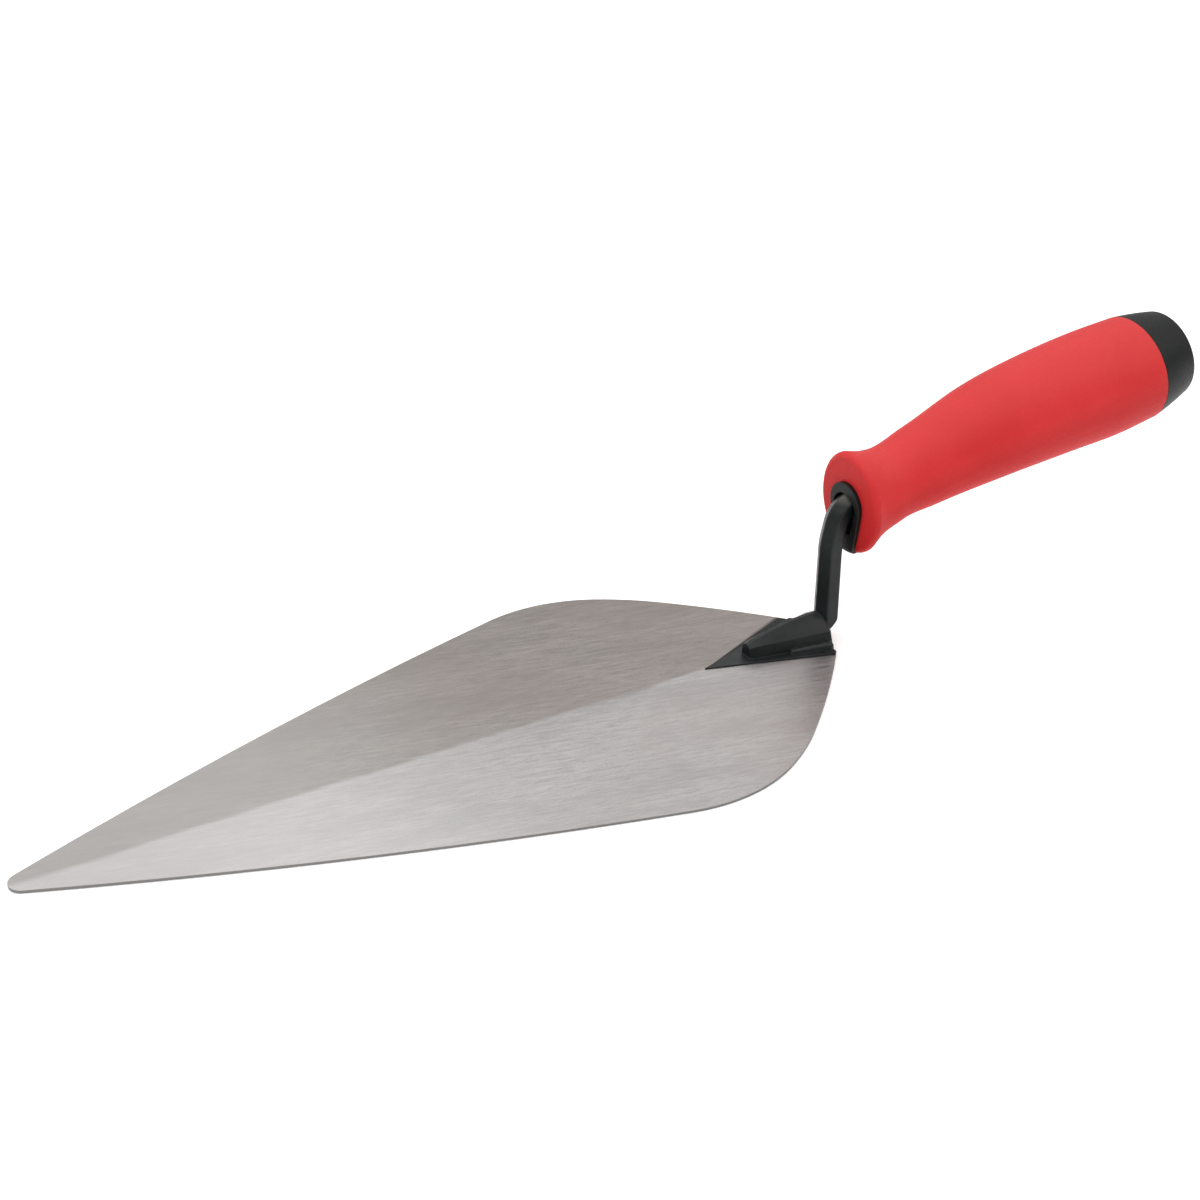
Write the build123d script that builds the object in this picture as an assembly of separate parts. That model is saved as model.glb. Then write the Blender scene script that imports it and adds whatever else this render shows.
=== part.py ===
from build123d import *
import math
import os

# Brick trowel, London pattern: a leaf-shaped steel blade with a forged foot, neck and tang,
# and a soft-grip handle.  Millimetres.  The blade lies flat with its underside on z = 0, the
# tip points to -X, the handle to +X, and all but the weld beads is symmetric about the XZ
# plane.  The origin is under the middle of the whole tool.

# ---- driving dimensions ----
OVERALL_LENGTH = 385.0        # tip to the furthest point of the butt
BLADE_LENGTH = 250.0          # tip to heel
BLADE_WIDTH = 120.65          # 4-3/4 in
WIDEST_FROM_TIP = 180.2       # distance from the tip to the widest line

SHOULDER_RADIUS = 48.0        # outline radius through the widest point
SHOULDER_FRONT_TURN = 14.6    # degrees of shoulder arc ahead of the widest point
SHOULDER_BACK_TURN = 28.5     # degrees of shoulder arc behind it
HIP_RADIUS = 85.0             # arc between shoulder and back edge
HIP_TURN = 13.6
FLANK_RADIUS = 1320.0         # long side from the shoulder to the nose
BACK_EDGE_RADIUS = 333.0      # nearly straight edge down to the heel

EDGE_THICKNESS = 0.7          # at the widest point
HEEL_THICKNESS = 1.4          # on the centre line
TIP_THICKNESS = 0.9           # on the centre line

FOOT_LENGTH = 40.0            # flange tip to heel
FOOT_WIDTH = 25.2             # flange at the heel
FLANGE_THICKNESS = 0.45
FLANGE_TIP_THICKNESS = 0.3
CREST_WIDTH = 1.2             # narrow flat along the top of the block
WELD_LENGTH = 13.0            # weld beads along the block, back to the foot's rear corners
WELD_SPREAD = 8.0             # bead axis from the centre line at the heel
WELD_FRONT_SPREAD = 5.6       # and at the front end, where the block is narrower
WELD_RISE = 0.35              # bead axis above the blade
WELD_RADII = (2.2, 1.6)       # at the heel; the bead on the -Y side is the fuller one
WELD_TAPER = 0.55             # radius at the front end, as a part of that
BAR_ACROSS_FLATS = 6.9        # hexagonal bar of bend and tang
NECK_ACROSS_FLATS = 7.15      # the neck is thicker at its base
BAR_EDGE_ROUND = 0.9
NECK_BEHIND_HEEL = 3.85       # neck axis
NECK_BASE = 2.1               # underside of the bar, inside the block
NECK_HEEL_RADIUS = 12.0       # rounded rear of the neck's base
NECK_TOP = 29.5               # straight part ends
NECK_PATH = (                 # radius and turn in degrees of each arc above the neck
    (26.0, 12.5),
    (6.5, 67.9),
)
NECK_STRAIGHT = 4.2           # between the two arcs
HANDLE_ANGLE = 9.6            # rise of the tang and of the butt, degrees
TANG_LENGTH = 72.0            # straight tapered part
TANG_TIP_ACROSS_FLATS = 4.6
TANG_TIP_ROUND = 0.5
TANG_NOTCHES = 4
TANG_NOTCH_DEPTH = 0.4
TANG_NOTCH_WIDTH = 1.6
TANG_FIRST_NOTCH = 0.45       # as a part of the tang's length
TANG_NOTCH_STEP = 0.12
TANG_FIT = 0.05               # gap between tang and its socket, per side

LIP_TO_FACE = 2.2             # widest section of the lip to the front face
LIP_ROUND = 1.7
SLEEVE_WALL = 3.0             # soft grip over the core
COLLAR_PROUD = 1.3            # collar stands out of the front face
COLLAR_DEPTH = 8.0
COLLAR_WIDTH = 13.8
COLLAR_TOP = 7.0              # heights in the front face, from its centre
COLLAR_WIDEST = -1.5
COLLAR_FOOT = -17.5
COLLAR_FOOT_WIDTH = 6.4
COLLAR_DRAW = 1.5             # how far the sides draw in half-way down
RELIEF_WIDTH = 10.6
RELIEF_TOP = 3.8
RELIEF_FOOT = -9.0
RELIEF_FOOT_WIDTH = 6.0
RELIEF_DEPTH = 2.4
BUTT_RADIUS = 13.9            # end of the cap, before its corner is rounded
BUTT_ROUND = 1.8
CAP_BULGE = 0.25              # the cap's side is slightly convex
SPIGOT_RADIUS = 8.0           # cap's plug in the hollow of the core
SPIGOT_LENGTH = 12.0
SPIGOT_FIT = 0.05
HOLLOW_DEPTH = 28.0

# Sections of the wedge-shaped block on the flange: place behind the heel, half width at the
# base, half width at the eaves, and heights of eaves and crest above the blade.
BLOCK_SECTIONS = (
    (-25.3, 2.3, 1.9, 3.5, 4.3),
    (-24.2, 2.9, 2.2, 3.8, 4.8),
    (-17.0, 4.4, 3.6, 4.1, 6.8),
    (-10.0, 5.7, 4.8, 4.2, 8.0),
    (-4.0, 7.0, 5.7, 4.4, 8.4),
    (1.0, 8.3, 6.6, 4.6, 8.5),
    (3.2, 5.0, 3.8, 3.2, 6.0),
)

# Sections of the grip: place along the handle, distance of the centre behind the heel, height
# of the centre above the ground, tilt of the section in degrees, half height, and half width
# as a part of the half height.  The lip is taller than it is wide; the rest is round.
GRIP_STATIONS = (
    (0, 11.5, 44.4, 2.6, 16.1, 0.85),
    (1.5, 12.85, 44.8, 3.2, 15.35, 0.857),
    (4, 15.2, 45.6, 4.2, 14.05, 0.892),
    (11, 22.1, 47.2, 9.2, 12.0, 1.0),
    (25, 35.7, 50.7, 9.6, 12.8, 1.0),
    (49, 59.0, 56.7, 9.6, 15.5, 1.0),
    (77, 86.6, 61.2, 9.6, 17.2, 1.0),
    (95, 104.5, 63.3, 9.6, 17.7, 1.0),
    (109, 118.4, 65.2, 9.6, 17.2, 1.0),
)
GRIP_SECTIONS = 54
CORE_START = 2                # the core begins behind this many sections of the lip

HEEL_X = BLADE_LENGTH - OVERALL_LENGTH / 2
TIP_X = HEEL_X - BLADE_LENGTH

os.makedirs("parts", exist_ok=True)


def heading(degrees):
    return math.cos(math.radians(degrees)), math.sin(math.radians(degrees))


def arc_from(x, y, angle, radius, turn):
    """Arc that leaves (x, y) at a heading and turns clockwise; both in degrees."""
    def point(bend):
        side = radius * (math.sin(math.radians(angle)) - math.sin(math.radians(angle - bend)))
        rise = radius * (math.cos(math.radians(angle - bend)) - math.cos(math.radians(angle)))
        return x + side, y + rise
    return ThreePointArc((x, y), point(turn / 2), point(turn)), point(turn), angle - turn


def blade_half_outline():
    """Edges of the +Y half from the nose to the heel, all tangent to each other."""
    widest_x = TIP_X + WIDEST_FROM_TIP
    half = BLADE_WIDTH / 2
    front = math.radians(SHOULDER_FRONT_TURN)
    join_x = widest_x - SHOULDER_RADIUS * math.sin(front)
    join_y = half - SHOULDER_RADIUS * (1 - math.cos(front))
    centre_x = join_x + FLANK_RADIUS * math.sin(front)
    centre_y = join_y - FLANK_RADIUS * math.cos(front)
    reach = centre_x - TIP_X
    nose = (FLANK_RADIUS**2 - centre_y**2 - reach**2) / (2 * (FLANK_RADIUS - reach))
    nose_x = TIP_X + nose
    span = FLANK_RADIUS - nose
    touch_x = nose_x - nose * (centre_x - nose_x) / span
    touch_y = -nose * centre_y / span
    nose_angle = math.degrees(math.atan2(touch_y, nose_x - touch_x))
    mid = heading(180 - nose_angle / 2)
    flank_turn = 90 - nose_angle - SHOULDER_FRONT_TURN
    edges = [ThreePointArc((TIP_X, 0), (nose_x + nose * mid[0], nose * mid[1]), (touch_x, touch_y))]
    x, y, angle = touch_x, touch_y, 90 - nose_angle
    hip_end = -SHOULDER_BACK_TURN - HIP_TURN
    for radius, turn in (
        (FLANK_RADIUS, flank_turn),
        (SHOULDER_RADIUS, SHOULDER_FRONT_TURN + SHOULDER_BACK_TURN),
        (HIP_RADIUS, HIP_TURN),
    ):
        edge, (x, y), angle = arc_from(x, y, angle, radius, turn)
        edges.append(edge)
    last = math.sin(math.radians(hip_end)) - (HEEL_X - x) / BACK_EDGE_RADIUS
    edge, (x, y), angle = arc_from(x, y, angle, BACK_EDGE_RADIUS, hip_end - math.degrees(math.asin(last)))
    edges.append(edge)
    return edges, (x, y)


def blade_prism(height):
    """Half of the blade's outline, on the +Y side, raised to a height."""
    edges, heel = blade_half_outline()
    edges += [Line(heel, (HEEL_X, 0)), Line((HEEL_X, 0), (TIP_X, 0))]
    return extrude(make_face(edges), height)


def make_blade():
    half = blade_prism(2 * HEEL_THICKNESS)
    widest_x = TIP_X + WIDEST_FROM_TIP
    fall = (HEEL_THICKNESS - TIP_THICKNESS) / BLADE_LENGTH
    centre_there = HEEL_THICKNESS - fall * (HEEL_X - widest_x)
    drop = (centre_there - EDGE_THICKNESS) / (BLADE_WIDTH / 2)
    normal = Vector(-fall, drop, 1).normalized()
    top = Plane(origin=(HEEL_X, 0, HEEL_THICKNESS), z_dir=normal)
    half = split(half, bisect_by=top, keep=Keep.BOTTOM)
    return half + mirror(half, about=Plane.XZ)


def make_foot_plate(blade):
    """Thin delta flange: pointed towards the tip, as wide as the heel at the back."""
    outline = Polyline(
        (HEEL_X - FOOT_LENGTH, 0),
        (HEEL_X, FOOT_WIDTH / 2),
        (HEEL_X, -FOOT_WIDTH / 2),
        close=True,
    )
    height = HEEL_THICKNESS + FLANGE_THICKNESS
    half_prism = blade_prism(height)
    plate = extrude(make_face(outline), height) & (half_prism + mirror(half_prism, about=Plane.XZ))
    slope = math.atan2(FLANGE_THICKNESS - FLANGE_TIP_THICKNESS, FOOT_LENGTH)
    top = Plane(origin=(HEEL_X, 0, height), z_dir=(-math.sin(slope), 0, math.cos(slope)))
    return split(plate, bisect_by=top, keep=Keep.BOTTOM) - blade


def roof_section(behind_heel, half_base, half_eave, eave, crest):
    """House-shaped section across the block, standing on the blade."""
    plane = Plane(origin=(HEEL_X + behind_heel, 0, HEEL_THICKNESS), x_dir=(0, 1, 0), z_dir=(1, 0, 0))
    right = [(half_base, 0), (half_eave, eave), (CREST_WIDTH / 2, crest)]
    left = [(-across, up) for across, up in reversed(right)]
    return plane * make_face(Polyline(right + left, close=True))


def make_block(blade):
    """Raised wedge of the foot, with a blunt front and a crest that climbs to the neck."""
    sections = [roof_section(*row) for row in BLOCK_SECTIONS]
    block = loft(sections[:2], ruled=True) + loft(sections[1:-1]) + loft(sections[-2:], ruled=True)
    return block - blade


def make_weld_bead(side, radius, blade):
    """Rounded bead along the base of one side of the block, fuller towards the heel."""
    slim = WELD_TAPER * radius
    start = Vector(HEEL_X - WELD_LENGTH + slim, side * WELD_FRONT_SPREAD, HEEL_THICKNESS + WELD_RISE)
    end = Vector(HEEL_X - radius / 2, side * WELD_SPREAD, start.Z)
    bead = loft([
        Plane(origin=start, z_dir=end - start) * Circle(slim),
        Plane(origin=end, z_dir=end - start) * Circle(radius),
    ], ruled=True)
    bead += Pos(*start) * Sphere(slim) + Pos(*end) * Sphere(radius)
    above = split(bead, bisect_by=Plane((0, 0, EDGE_THICKNESS)), keep=Keep.TOP)
    return above - blade


def hexagon(across_flats, edge_round):
    shape = RegularPolygon(across_flats / 2, 6, major_radius=False)
    return fillet(shape.vertices(), edge_round)


def bend_path():
    """Centre line from the top of the straight neck, round the bend and into the handle."""
    x, z, angle = HEEL_X + NECK_BEHIND_HEEL, NECK_TOP, 90
    edges = []
    for radius, turn in NECK_PATH:
        if edges:
            side, up = heading(angle)
            ahead = (x + NECK_STRAIGHT * side, z + NECK_STRAIGHT * up)
            edges.append(Line((x, z), ahead))
            x, z = ahead
        edge, (x, z), angle = arc_from(x, z, angle, radius, turn)
        edges.append(edge)
    return Plane.XZ * Wire(edges), Vector(x, 0, z)


def make_neck(gap):
    """Straight neck: a slightly tapered hexagonal bar with a rounded rear at its base."""
    x = HEEL_X + NECK_BEHIND_HEEL
    low = Plane((x, 0, NECK_BASE)) * hexagon(NECK_ACROSS_FLATS + 2 * gap, BAR_EDGE_ROUND)
    high = Plane((x, 0, NECK_TOP)) * hexagon(BAR_ACROSS_FLATS + 2 * gap, BAR_EDGE_ROUND)
    neck = loft([low, high], ruled=True)
    rear = x + NECK_ACROSS_FLATS / math.sqrt(3)
    corner = Box(
        2 * NECK_HEEL_RADIUS,
        2 * NECK_ACROSS_FLATS,
        2 * NECK_HEEL_RADIUS,
        align=(Align.MIN, Align.CENTER, Align.MAX),
    )
    round_bar = Rotation(90, 0, 0) * Cylinder(NECK_HEEL_RADIUS, 2 * NECK_ACROSS_FLATS)
    return neck - Pos(rear - NECK_HEEL_RADIUS, 0, NECK_BASE + NECK_HEEL_RADIUS) * (corner - round_bar)


def make_bar(gap=0.0):
    """Hexagonal bar of neck, bend and tapered tang, grown by a gap on every side."""
    path, end = bend_path()
    flats = BAR_ACROSS_FLATS + 2 * gap
    tip_flats = TANG_TIP_ACROSS_FLATS + 2 * gap
    bend = sweep(Plane(path @ 0) * hexagon(flats, BAR_EDGE_ROUND), path=path)
    side, up = heading(HANDLE_ANGLE)
    root = Plane(origin=end, x_dir=(0, 1, 0), z_dir=(side, 0, up))
    upright = Rotation(0, 0, 30)
    tang = loft([
        root * upright * hexagon(flats, BAR_EDGE_ROUND),
        root.offset(TANG_LENGTH + gap) * upright * hexagon(tip_flats, TANG_TIP_ROUND),
    ], ruled=True)
    if gap == 0:
        tang -= tang_notches(root)
    return make_neck(gap) + bend + tang


def tang_notches(root):
    """Shallow rings round the hidden end of the tang, which key it into the core."""
    rings = []
    taper = (BAR_ACROSS_FLATS - TANG_TIP_ACROSS_FLATS) / 2 / TANG_LENGTH
    for number in range(TANG_NOTCHES):
        reach = TANG_LENGTH * (TANG_FIRST_NOTCH + TANG_NOTCH_STEP * number)
        half = BAR_ACROSS_FLATS / 2 - taper * reach
        ring = Circle(half + TANG_NOTCH_WIDTH) - Circle(half - TANG_NOTCH_DEPTH)
        rings.append(extrude(root.offset(reach) * ring, TANG_NOTCH_WIDTH))
    return rings


def make_shank(blade):
    foot = make_foot_plate(blade) + make_block(blade)
    for side, radius in zip((-1, 1), WELD_RADII):
        foot += make_weld_bead(side, radius, blade)
    return foot + make_bar()


def station_slope(number, column):
    """Rate of change of one column of the stations at a station, from its neighbours."""
    rows = GRIP_STATIONS
    steps = []
    for row, following in zip(rows[max(number - 1, 0):number + 1], rows[max(number, 1):number + 2]):
        run = following[0] - row[0]
        steps.append(((following[column] - row[column]) / run, run))
    if len(steps) == 1:
        return steps[0][0]
    (before, run_before), (after, run_after) = steps
    return (before * run_after + after * run_before) / (run_before + run_after)


def grip_value(place, column):
    """Smooth value of one column of the stations at any place along the grip."""
    number = sum(1 for row in GRIP_STATIONS[1:-1] if row[0] <= place)
    row, following = GRIP_STATIONS[number], GRIP_STATIONS[number + 1]
    run = following[0] - row[0]
    t = (place - row[0]) / run
    start, end = row[column], following[column]
    rate, end_rate = station_slope(number, column) * run, station_slope(number + 1, column) * run
    return (
        start * (1 + 2 * t) * (1 - t) ** 2
        + rate * t * (1 - t) ** 2
        + end * t * t * (3 - 2 * t)
        - end_rate * t * t * (1 - t)
    )


def grip_plane(fraction):
    """Plane of the grip's section at a fraction of its length, with its half height and width."""
    place = fraction * GRIP_STATIONS[-1][0]
    side, up = heading(grip_value(place, 3))
    origin = (HEEL_X + grip_value(place, 1), 0, grip_value(place, 2))
    half_height = grip_value(place, 4)
    half_width = half_height * min(grip_value(place, 5), 1)
    return Plane(origin=origin, x_dir=(0, 1, 0), z_dir=(side, 0, up)), half_height, half_width


def grip_section(fraction, inset=0.0):
    plane, half_height, half_width = grip_plane(fraction)
    return plane * Rotation(0, 0, 90) * Ellipse(half_height - inset, half_width - inset)


def grip_body(inset=0.0, first=0):
    sections = []
    for number in range(first, GRIP_SECTIONS + 1):
        sections.append(grip_section(number / GRIP_SECTIONS, inset))
    return loft(sections)


def lip(proud=0.0):
    """Front end of the handle: a round-edged oval disc ahead of the widest section."""
    disc = extrude(grip_section(0), -LIP_TO_FACE - proud)
    rim = disc.edges().filter_by(GeomType.ELLIPSE).sort_by(Axis.X)[0]
    return fillet(rim, LIP_ROUND)


def face_plane(offset=0.0):
    """Plane of the front face, local Y up; a positive offset is towards the butt."""
    return grip_plane(0)[0].offset(offset - LIP_TO_FACE)


def make_collar():
    """Hard collar in the front face: round at the top, narrowing to a foot at the lip."""
    half = COLLAR_WIDTH / 2
    half_foot = COLLAR_FOOT_WIDTH / 2
    shoulder = (half, COLLAR_WIDEST)
    foot = (half_foot, COLLAR_FOOT)
    waist = (half - COLLAR_DRAW, (COLLAR_WIDEST + COLLAR_FOOT) / 2)
    crown = ThreePointArc((-half, COLLAR_WIDEST), (0, COLLAR_TOP), shoulder)
    side = ThreePointArc(shoulder, waist, foot)
    other_side = ThreePointArc((-half, COLLAR_WIDEST), (-waist[0], waist[1]), (-half_foot, COLLAR_FOOT))
    outline = make_face([crown, side, Line(foot, (-half_foot, COLLAR_FOOT)), other_side])
    prism = extrude(face_plane(-COLLAR_PROUD) * outline, COLLAR_PROUD + COLLAR_DEPTH)
    return prism & (lip(COLLAR_PROUD) + grip_body())


def make_relief():
    """Recess in the collar, narrowing downwards, where the bend of the neck nests."""
    half = RELIEF_WIDTH / 2
    half_foot = RELIEF_FOOT_WIDTH / 2
    crown = ThreePointArc((-half, COLLAR_WIDEST), (0, RELIEF_TOP), (half, COLLAR_WIDEST))
    rest = Polyline(
        (half, COLLAR_WIDEST),
        (half_foot, RELIEF_FOOT),
        (-half_foot, RELIEF_FOOT),
        (-half, COLLAR_WIDEST),
    )
    return extrude(face_plane(-COLLAR_PROUD - 1) * make_face([crown, rest]), COLLAR_PROUD + 1 + RELIEF_DEPTH)


def butt_plane():
    """Plane of the butt's end face, placed so that its corner reaches the overall length."""
    border = grip_plane(1)[0]
    side, up = heading(HANDLE_ANGLE)
    inner = BUTT_RADIUS - BUTT_ROUND
    reach = OVERALL_LENGTH / 2 - border.origin.X
    length = (reach - BUTT_ROUND - inner * up) / side + BUTT_ROUND
    return border.offset(length), length


def make_end_cap():
    plane, length = butt_plane()
    radius = grip_plane(1)[1]
    side = ThreePointArc(
        (radius, -length),
        ((radius + BUTT_RADIUS) / 2 + CAP_BULGE, -length / 2),
        (BUTT_RADIUS, 0),
    )
    rest = Polyline((BUTT_RADIUS, 0), (0, 0), (0, -length), (radius, -length))
    solid = revolve(Plane.XZ * make_face([side, rest]), axis=Axis.Z)
    rim = solid.edges().filter_by(GeomType.CIRCLE).sort_by(Axis.Z)[-1]
    solid = fillet(rim, BUTT_ROUND)
    spigot = Cylinder(SPIGOT_RADIUS, SPIGOT_LENGTH, align=(Align.CENTER, Align.CENTER, Align.MAX))
    solid += Pos(0, 0, -length) * spigot
    return plane.location * solid


def make_core(collar):
    """Hard inner handle: collar at the front, socket for the tang, hollow at the rear."""
    border = grip_plane(1)[0]
    core = grip_body(SLEEVE_WALL, CORE_START) + collar
    hollow = extrude(border * Circle(SPIGOT_RADIUS + SPIGOT_FIT), -HOLLOW_DEPTH)
    return core - make_relief() - make_bar(TANG_FIT) - hollow


blade = make_blade()
shank = make_shank(blade)
collar = make_collar()
handle_core = make_core(collar)
grip_sleeve = lip() + grip_body() - grip_body(SLEEVE_WALL, CORE_START) - collar
end_cap = make_end_cap()

for name, solid in (
    ("blade", blade),
    ("shank", shank),
    ("handle_core", handle_core),
    ("grip_sleeve", grip_sleeve),
    ("end_cap", end_cap),
):
    export_step(solid, f"parts/{name}.step")
    print(name, round(solid.volume), len(solid.solids()), solid.is_valid, solid.bounding_box())
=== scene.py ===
import math

import bpy
from mathutils import Matrix, Vector


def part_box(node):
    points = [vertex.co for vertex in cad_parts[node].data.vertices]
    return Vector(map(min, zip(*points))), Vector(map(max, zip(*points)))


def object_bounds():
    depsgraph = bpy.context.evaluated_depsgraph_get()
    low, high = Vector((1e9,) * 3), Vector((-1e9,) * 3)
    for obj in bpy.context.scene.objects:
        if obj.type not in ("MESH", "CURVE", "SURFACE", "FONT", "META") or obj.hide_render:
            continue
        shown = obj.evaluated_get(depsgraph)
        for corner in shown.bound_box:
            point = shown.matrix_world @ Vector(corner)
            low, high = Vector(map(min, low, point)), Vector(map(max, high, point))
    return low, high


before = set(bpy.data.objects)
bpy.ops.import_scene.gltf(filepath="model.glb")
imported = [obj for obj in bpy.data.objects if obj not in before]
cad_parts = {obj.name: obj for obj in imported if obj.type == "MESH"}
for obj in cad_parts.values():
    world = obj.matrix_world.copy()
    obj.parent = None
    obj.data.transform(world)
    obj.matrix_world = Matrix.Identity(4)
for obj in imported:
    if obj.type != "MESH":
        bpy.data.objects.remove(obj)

# Brick trowel in a white studio: procedural materials for its five CAD pieces, a floor,
# soft lights and a camera.

CAD_LOW, CAD_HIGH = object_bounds()

# The blade's centre line ends at the heel, where the foot's rear edge stands.
HEEL = Vector((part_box("blade")[1].x, 0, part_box("blade")[1].z))

# ---- places on the object, in metres; X runs from the tip to the butt ----
FLANGE_LENGTH = 0.040
FLANGE_TIP_X = HEEL.x - FLANGE_LENGTH
SCRATCH_ANGLE = math.radians(-12)      # direction of the grinding marks, from +X
NOSE_HIGHLIGHT_FADE_X = (-0.03, -0.13)           # painted highlight: the blade brightens towards the nose
FAR_SHADE_FADE_X = (-0.15, 0.05)            # painted shade: the far half is greyer at the nose, browner at the heel
CENTRE_LINE_Y = (0.0008, 0.0032)       # the far half's painted shade starts here, just beyond the centre line
CENTRE_LINE_WANDER = 0.004             # how far that edge follows the broad marks
STRIP_START_Y = (0.0002, 0.0012)       # the shaded strip is on the far half only
STRIP_START_X = (FLANGE_TIP_X, HEEL.x - 0.034)
STRIP_SLOPE = (0.45, 0.39)             # its outer edge, Y over the distance behind the flange's tip
BEND_TOP_Z = (0.0448, 0.0474)          # paint is rubbed off above here
BEND_REAR_X = (HEEL.x + 0.0125, HEEL.x + 0.0095)
PAINT_EDGE_RADIUS = 0.0004
PLASTIC_EDGE_RADIUS = 0.0006

# ---- studio, in metres and watts ----
FLOOR_SIZE = 6.0
FLOOR_CUTS = 8
FLOOR_GAP = 0.0002
WORLD_STRENGTH = 0.52
LIGHTS = (                             # name, place, aim, size, power
    ("overhead", (0.0, 0.12, 1.2), (0, 0, 0.03), (3.2, 2.8), 28),
    ("right", (1.0, -0.5, 0.8), (0, 0, 0.04), (0.7, 0.7), 2),
    ("left", (-1.2, 0.2, 0.6), (0, 0, 0.04), (0.8, 0.8), 3),
)
CAMERA_SENSOR = 36.0
CAMERA_LENS = 61.37
CAMERA_PLACE = HEEL + Vector((-0.33341, -0.43358, 0.31591))
CAMERA_RIGHT = Vector((0.86188, -0.50709, 0.00549))
CAMERA_DOWN = Vector((-0.24353, -0.42336, -0.87262))
CAMERA_CLIP = (0.05, 20)

# ---- colours, linear ----
STEEL_DARK = (0.322, 0.308, 0.300, 1)
STEEL_LIGHT = (0.506, 0.490, 0.485, 1)
STEEL_BROAD_MARK = (0.28, 0.272, 0.27, 1)
STEEL_WARM_PATCH = (0.41, 0.360, 0.348, 1)
# painted highlight on the nose
STEEL_NOSE_HIGHLIGHT = (0.78, 0.77, 0.765, 1)
STEEL_STRIP = (0.022, 0.022, 0.022, 1)
# painted shade on the upright edge faces of the blade
STEEL_EDGE_SHADE = (0.14, 0.135, 0.13, 1)
# painted shade on the far half, at the nose and at the heel
FAR_SHADE_AT_NOSE = (0.80, 0.79, 0.77, 1)
FAR_SHADE_AT_HEEL = (0.76, 0.71, 0.675, 1)
PAINT_DEEP = (0.0026, 0.0046, 0.0048, 1)
PAINT_THIN = (0.0068, 0.0104, 0.0108, 1)
# painted sheen on faces that tilt up
PAINT_TOP_SHEEN = (0.026, 0.0265, 0.0265, 1)
PAINT_SPECK = (0.07, 0.068, 0.062, 1)
PAINT_WORN_EDGE = (0.085, 0.083, 0.078, 1)
PAINT_RUBBED = (0.16, 0.145, 0.12, 1)
RUBBER_DEEP = (0.555, 0.0215, 0.023, 1)
RUBBER_LIGHT = (0.615, 0.028, 0.029, 1)
RUBBER_GRAIN = (0.40, 0.014, 0.014, 1)
# painted highlight on the top of the grip
RUBBER_TOP_HIGHLIGHT = (0.60, 0.046, 0.046, 1)
# painted shade on the underside of the grip
RUBBER_UNDERSIDE_SHADE = (0.42, 0.007, 0.007, 1)
PLASTIC_DEEP = (0.0042, 0.0050, 0.0046, 1)
PLASTIC_LIGHT = (0.0078, 0.0088, 0.0080, 1)
PLASTIC_WORN_EDGE = (0.08, 0.08, 0.076, 1)
FLOOR_DARK = (0.93, 0.93, 0.93, 1)
FLOOR_LIGHT = (0.96, 0.96, 0.96, 1)
WHITE = (1, 1, 1, 1)


# ---- node helpers ----

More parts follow.
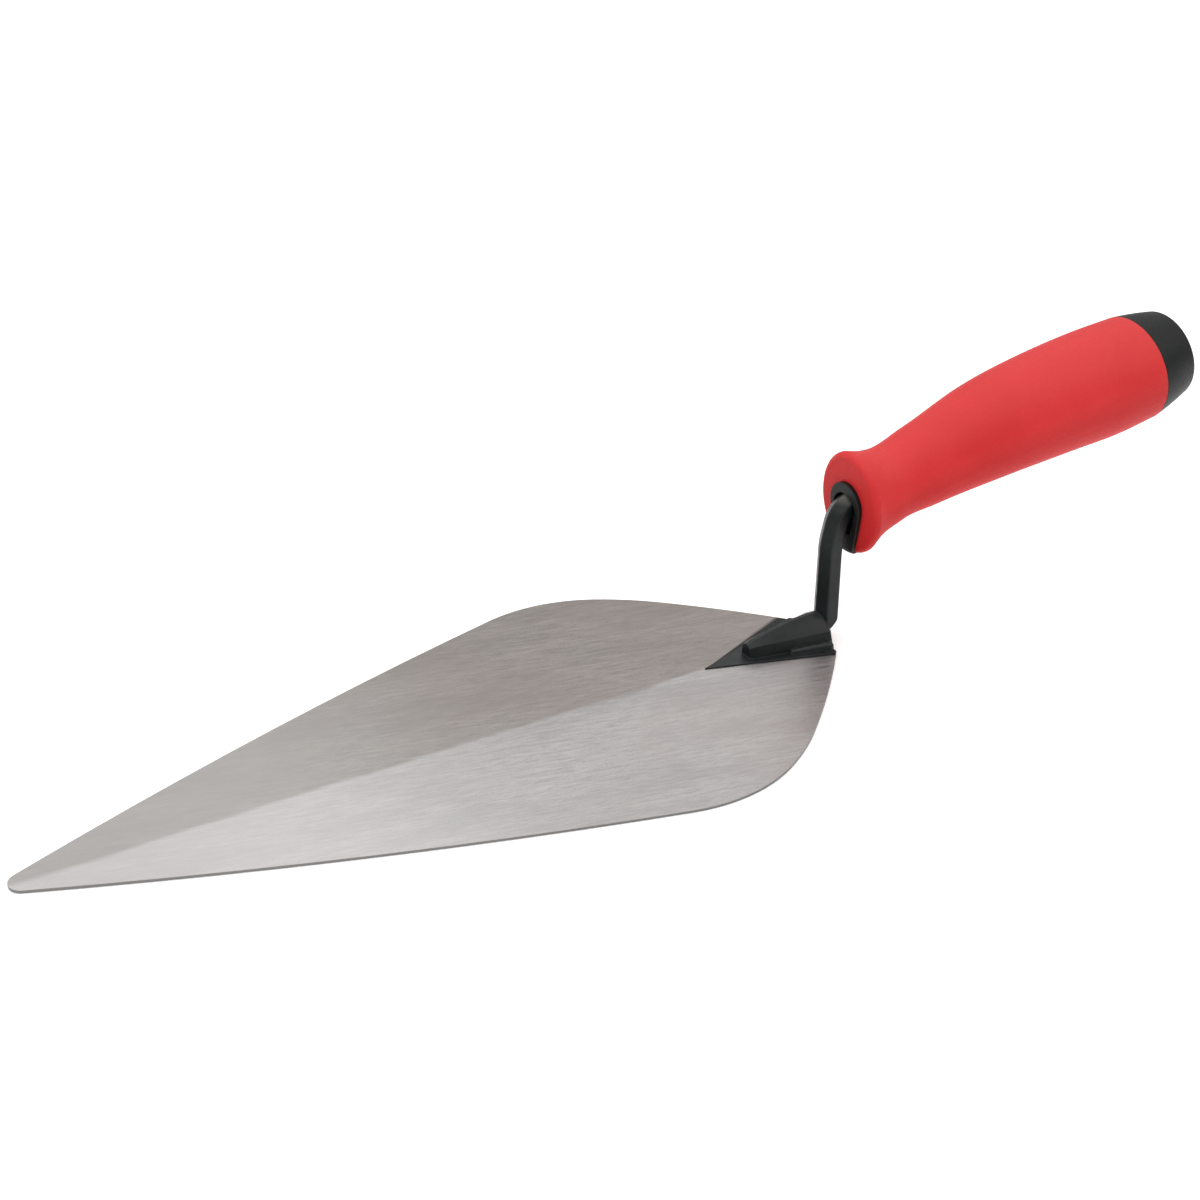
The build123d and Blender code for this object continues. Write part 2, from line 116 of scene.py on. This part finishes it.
class Graph:
    """Short calls that build one material's node tree.  Noise scales are per metre."""

    def __init__(self, name):
        self.material = bpy.data.materials.new(name)
        self.material.use_nodes = True
        self.tree = self.material.node_tree
        self.tree.nodes.clear()
        self.shader = self.node("ShaderNodeBsdfPrincipled")
        output = self.node("ShaderNodeOutputMaterial")
        self.link(self.shader.outputs["BSDF"], output.inputs["Surface"])
        self.coords = self.node("ShaderNodeTexCoord").outputs["Object"]

    def node(self, kind, **settings):
        made = self.tree.nodes.new(kind)
        for key, value in settings.items():
            setattr(made, key, value)
        return made

    def link(self, source, target):
        self.tree.links.new(source, target)

    def plug(self, target, value):
        """Links a socket, or sets a plain value."""
        if isinstance(value, bpy.types.NodeSocket):
            self.link(value, target)
        else:
            target.default_value = value

    def constant(self, **values):
        """Values that are the same all over, set on the shader itself."""
        for key, value in values.items():
            self.shader.inputs[key.replace("_", " ")].default_value = value

    def mapped(self, turn=(0, 0, 0), scale=(1, 1, 1), source=None):
        mapping = self.node("ShaderNodeMapping")
        self.plug(mapping.inputs["Vector"], source or self.coords)
        mapping.inputs["Rotation"].default_value = turn
        mapping.inputs["Scale"].default_value = scale
        return mapping.outputs["Vector"]

    def noise(self, vector, scale, detail=2.0, roughness=0.5):
        made = self.node("ShaderNodeTexNoise")
        self.plug(made.inputs["Vector"], vector)
        made.inputs["Scale"].default_value = scale
        made.inputs["Detail"].default_value = detail
        made.inputs["Roughness"].default_value = roughness
        return made.outputs["Fac"]

    def cells(self, vector, scale):
        """Distance to the nearest of a cloud of points."""
        made = self.node("ShaderNodeTexVoronoi")
        self.plug(made.inputs["Vector"], vector)
        made.inputs["Scale"].default_value = scale
        return made.outputs["Distance"]

    def math(self, operation, first, second):
        made = self.node("ShaderNodeMath", operation=operation)
        self.plug(made.inputs[0], first)
        self.plug(made.inputs[1], second)
        return made.outputs[0]

    def plus(self, first, *others):
        for other in others:
            first = self.math("ADD", first, other)
        return first

    def times(self, first, *others):
        for other in others:
            first = self.math("MULTIPLY", first, other)
        return first

    def ranged(self, value, span, to=(0.0, 1.0)):
        """Eases a value from one span to another, and holds it at the ends."""
        made = self.node("ShaderNodeMapRange", interpolation_type="SMOOTHSTEP")
        self.plug(made.inputs["Value"], value)
        made.inputs["From Min"].default_value, made.inputs["From Max"].default_value = span
        made.inputs["To Min"].default_value, made.inputs["To Max"].default_value = to
        return made.outputs["Result"]

    def mix(self, factor, first, second, blend="MIX"):
        made = self.node("ShaderNodeMix", data_type="RGBA", blend_type=blend)
        self.plug(made.inputs["Factor"], factor)
        self.plug(made.inputs["A"], first)
        self.plug(made.inputs["B"], second)
        return made.outputs["Result"]

    def axis(self, name, source=None):
        split = self.node("ShaderNodeSeparateXYZ")
        self.plug(split.inputs[0], source or self.coords)
        return split.outputs[name]

    def true_normal(self):
        return self.node("ShaderNodeNewGeometry").outputs["Normal"]

    def upward(self):
        """1 where a surface faces up, 0 where it is upright, -1 where it faces down."""
        return self.axis("Z", self.true_normal())

    def rounded(self, radius):
        """Normal that turns smoothly round the edges of a piece."""
        bevel = self.node("ShaderNodeBevel", samples=6)
        bevel.inputs["Radius"].default_value = radius
        return bevel.outputs["Normal"]

    def edge_wear(self, rounded):
        """0 on flat faces, up to 1 at edges, from a rounded normal."""
        dot = self.node("ShaderNodeVectorMath", operation="DOT_PRODUCT")
        self.link(rounded, dot.inputs[0])
        self.link(self.true_normal(), dot.inputs[1])
        return self.ranged(dot.outputs["Value"], (0.995, 0.8))

    def bump(self, height, distance, strength, normal=None):
        made = self.node("ShaderNodeBump")
        self.plug(made.inputs["Height"], height)
        made.inputs["Distance"].default_value = distance
        made.inputs["Strength"].default_value = strength
        if normal is not None:
            self.link(normal, made.inputs["Normal"])
        return made.outputs["Normal"]

    def finish(self, colour, roughness, normal=None):
        self.plug(self.shader.inputs["Base Color"], colour)
        self.plug(self.shader.inputs["Roughness"], roughness)
        if normal is not None:
            self.link(normal, self.shader.inputs["Normal"])
        return self.material


# ---- materials ----

def brushed_steel():
    """Ground spring steel: short fine grinding marks, painted shade on the far half from a crisp
    edge at the centre line, a painted highlight on the nose, painted shade on the upright edges and
    a shaded strip beside the foot."""
    g = Graph("brushed_steel")
    turned = g.mapped(turn=(0, 0, -SCRATCH_ANGLE))

    def marks(along, across, roughness):
        """Noise drawn out along the grinding direction; both densities are per metre."""
        stretched = g.mapped(scale=(along, across, along), source=turned)
        return g.noise(stretched, scale=1.0, detail=3.0, roughness=roughness)

    fine = marks(along=190, across=2400, roughness=0.7)
    medium = marks(along=70, across=800, roughness=0.6)
    broad = marks(along=16, across=70, roughness=0.6)
    cloud = g.noise(g.coords, scale=17.0, detail=3.0)
    speckle = g.noise(g.coords, scale=1300.0, roughness=0.7)
    streaks = g.plus(g.times(fine, 0.5), g.times(medium, 0.3), g.times(speckle, 0.2))
    steel = g.mix(g.ranged(streaks, (0.34, 0.66)), STEEL_DARK, STEEL_LIGHT)
    steel = g.mix(g.ranged(broad, (0.35, 0.7), to=(0.0, 0.42)), steel, STEEL_BROAD_MARK)
    steel = g.mix(g.ranged(cloud, (0.35, 0.7), to=(0.0, 0.34)), steel, STEEL_WARM_PATCH)

    # a painted highlight on the nose, and painted shade that makes the far half darker and browner
    along = g.axis("X")
    across = g.axis("Y")
    steel = g.mix(g.ranged(along, NOSE_HIGHLIGHT_FADE_X, to=(0.0, 0.38)), steel, STEEL_NOSE_HIGHLIGHT)
    far_shade = g.mix(g.ranged(along, FAR_SHADE_FADE_X), FAR_SHADE_AT_NOSE, FAR_SHADE_AT_HEEL)
    far_shade_mask = g.ranged(g.plus(across, g.times(broad, CENTRE_LINE_WANDER)), CENTRE_LINE_Y)
    steel = g.mix(far_shade_mask, steel, far_shade, blend="MULTIPLY")

    # shaded strip on the blade beside the far edge of the foot
    slope = g.math("DIVIDE", across, g.plus(along, -FLANGE_TIP_X))
    strip = g.times(g.ranged(slope, STRIP_SLOPE), g.ranged(across, STRIP_START_Y))
    strip = g.times(strip, g.ranged(along, STRIP_START_X, to=(0.0, 0.97)))
    steel = g.mix(strip, steel, STEEL_STRIP)

    # painted shade: the upright edge faces of the blade are darkened
    edge_shade = g.ranged(g.upward(), (0.9, 0.4), to=(0.0, 0.85))
    steel = g.mix(edge_shade, steel, STEEL_EDGE_SHADE)
    rough = g.ranged(streaks, (0.3, 0.7), to=(0.36, 0.5))
    g.constant(Metallic=1.0)
    return g.finish(steel, rough, g.bump(streaks, distance=0.00005, strength=0.5))


def black_paint():
    """Satin black enamel over a forging: orange peel, specks, painted sheen on upward faces, thin
    edges.
    """
    g = Graph("shank_paint")
    rounded = g.rounded(PAINT_EDGE_RADIUS)
    peel = g.noise(g.coords, scale=420.0, detail=3.0, roughness=0.6)
    lumps = g.noise(g.coords, scale=110.0)
    specks = g.ranged(g.cells(g.coords, scale=700.0), (0.16, 0.05))
    specks = g.times(specks, g.ranged(lumps, (0.5, 0.7), to=(0.0, 0.4)))
    worn = g.times(g.edge_wear(rounded), g.ranged(peel, (0.35, 0.65), to=(0.1, 0.4)))
    upward = g.upward()
    # painted sheen: faces that tilt up are lighter in patches, the flat flange less so
    painted_sheen = g.times(g.ranged(upward, (0.7, 0.88)), g.ranged(peel, (0.3, 0.7), to=(0.35, 0.75)))
    painted_sheen = g.times(painted_sheen, g.ranged(upward, (0.90, 0.99), to=(1.0, 0.4)))
    colour = g.mix(g.ranged(lumps, (0.35, 0.7)), PAINT_DEEP, PAINT_THIN)
    colour = g.mix(painted_sheen, colour, PAINT_TOP_SHEEN)
    colour = g.mix(specks, colour, PAINT_SPECK)
    colour = g.mix(worn, colour, PAINT_WORN_EDGE)

    # paint rubbed off the top of the bend, where it meets the collar
    crown = g.ranged(g.axis("Z"), BEND_TOP_Z)
    ahead = g.ranged(g.axis("X"), BEND_REAR_X)
    rubbed = g.times(crown, ahead, g.ranged(lumps, (0.38, 0.6), to=(0.1, 0.7)))
    colour = g.mix(rubbed, colour, PAINT_RUBBED)
    rough = g.ranged(peel, (0.3, 0.7), to=(0.3, 0.46))
    height = g.plus(g.times(peel, 0.4), lumps)
    g.constant(Specular_IOR_Level=0.3)
    return g.finish(colour, rough, g.bump(height, distance=0.00025, strength=0.5, normal=rounded))


def soft_rubber():
    """Moulded soft grip: fine matte stipple, a faint unevenness of colour, a painted highlight on
    the top and painted shade on the underside."""
    g = Graph("grip_rubber")
    stipple = g.cells(g.coords, scale=1500.0)
    grain = g.noise(g.coords, scale=2200.0, roughness=0.6)
    patches = g.noise(g.coords, scale=45.0, detail=3.0)
    colour = g.mix(g.ranged(patches, (0.3, 0.7)), RUBBER_DEEP, RUBBER_LIGHT)
    colour = g.mix(g.ranged(grain, (0.35, 0.75), to=(0.0, 0.16)), colour, RUBBER_GRAIN)
    upward = g.upward()
    # painted highlight: faces that tilt up are paler
    colour = g.mix(g.ranged(upward, (0.2, 0.95), to=(0.0, 0.5)), colour, RUBBER_TOP_HIGHLIGHT)
    # painted shade: faces that tilt down are darker
    underside_shade_share = g.ranged(upward, (-0.8, -0.35), to=(0.15, 0.6))
    underside_shade = g.times(g.ranged(upward, (0.3, -0.2)), underside_shade_share)
    colour = g.mix(underside_shade, colour, RUBBER_UNDERSIDE_SHADE)
    rough = g.ranged(grain, (0.3, 0.7), to=(0.5, 0.66))
    height = g.plus(stipple, g.times(grain, 0.5))
    g.constant(Specular_IOR_Level=0.2)
    return g.finish(colour, rough, g.bump(height, distance=0.00012, strength=0.3))


def hard_plastic():
    """Charcoal moulded plastic with a spark-eroded texture."""
    g = Graph("hard_plastic")
    rounded = g.rounded(PLASTIC_EDGE_RADIUS)
    grain = g.noise(g.coords, scale=1700.0, detail=3.0, roughness=0.6)
    patches = g.noise(g.coords, scale=60.0)
    colour = g.mix(g.ranged(patches, (0.3, 0.7)), PLASTIC_DEEP, PLASTIC_LIGHT)
    colour = g.mix(g.times(g.edge_wear(rounded), 0.25), colour, PLASTIC_WORN_EDGE)
    rough = g.ranged(grain, (0.3, 0.7), to=(0.4, 0.54))
    g.constant(Specular_IOR_Level=0.19)
    return g.finish(colour, rough, g.bump(grain, distance=0.00012, strength=0.35, normal=rounded))


def pale_floor():
    """Slightly mottled white sheet that glows a little, so that shadows stay faint."""
    g = Graph("studio_floor")
    mottling = g.noise(g.coords, scale=3.0)
    colour = g.mix(g.ranged(mottling, (0.3, 0.7)), FLOOR_DARK, FLOOR_LIGHT)
    g.plug(g.shader.inputs["Emission Color"], colour)
    g.constant(Emission_Strength=0.26)
    return g.finish(colour, roughness=0.85)


# ---- pieces ----

def dress(node, material):
    """Gives a CAD node its material."""
    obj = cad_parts[node]
    obj.data.materials.clear()
    obj.data.materials.append(material)


def make_floor():
    bpy.ops.mesh.primitive_grid_add(
        x_subdivisions=FLOOR_CUTS,
        y_subdivisions=FLOOR_CUTS,
        size=FLOOR_SIZE,
    )
    floor = bpy.context.object
    floor.name = "studio_floor"
    floor.location = (0, 0, CAD_LOW.z - FLOOR_GAP)
    floor.data.materials.append(pale_floor())


# ---- light and camera ----

def area_light(name, place, aim, size, power):
    light = bpy.data.lights.new(name, "AREA")
    light.shape = "RECTANGLE"
    light.size, light.size_y = size
    light.energy = power
    obj = bpy.data.objects.new(name, light)
    bpy.context.collection.objects.link(obj)
    obj.location = place
    ahead = Vector(aim) - Vector(place)
    obj.rotation_euler = ahead.to_track_quat("-Z", "Y").to_euler()


def make_lights():
    world = bpy.data.worlds.new("studio")
    bpy.context.scene.world = world
    world.use_nodes = True
    background = world.node_tree.nodes["Background"]
    background.inputs["Color"].default_value = WHITE
    background.inputs["Strength"].default_value = WORLD_STRENGTH
    for light in LIGHTS:
        area_light(*light)


def make_camera():
    """Looks down over the near edge of the blade, from ahead of the heel."""
    data = bpy.data.cameras.new("camera")
    data.sensor_width = CAMERA_SENSOR
    data.lens = CAMERA_LENS
    data.clip_start, data.clip_end = CAMERA_CLIP
    camera = bpy.data.objects.new("camera", data)
    bpy.context.collection.objects.link(camera)
    bpy.context.scene.camera = camera
    ahead = CAMERA_RIGHT.cross(CAMERA_DOWN)
    turn = Matrix((CAMERA_RIGHT, -CAMERA_DOWN, -ahead)).transposed()
    camera.matrix_world = Matrix.Translation(CAMERA_PLACE) @ turn.to_4x4()


dress("blade", brushed_steel())
dress("shank", black_paint())
dress("grip_sleeve", soft_rubber())
plastic = hard_plastic()
dress("handle_core", plastic)
dress("end_cap", plastic)
make_floor()
make_lights()
make_camera()
bpy.context.scene.view_settings.view_transform = "Standard"
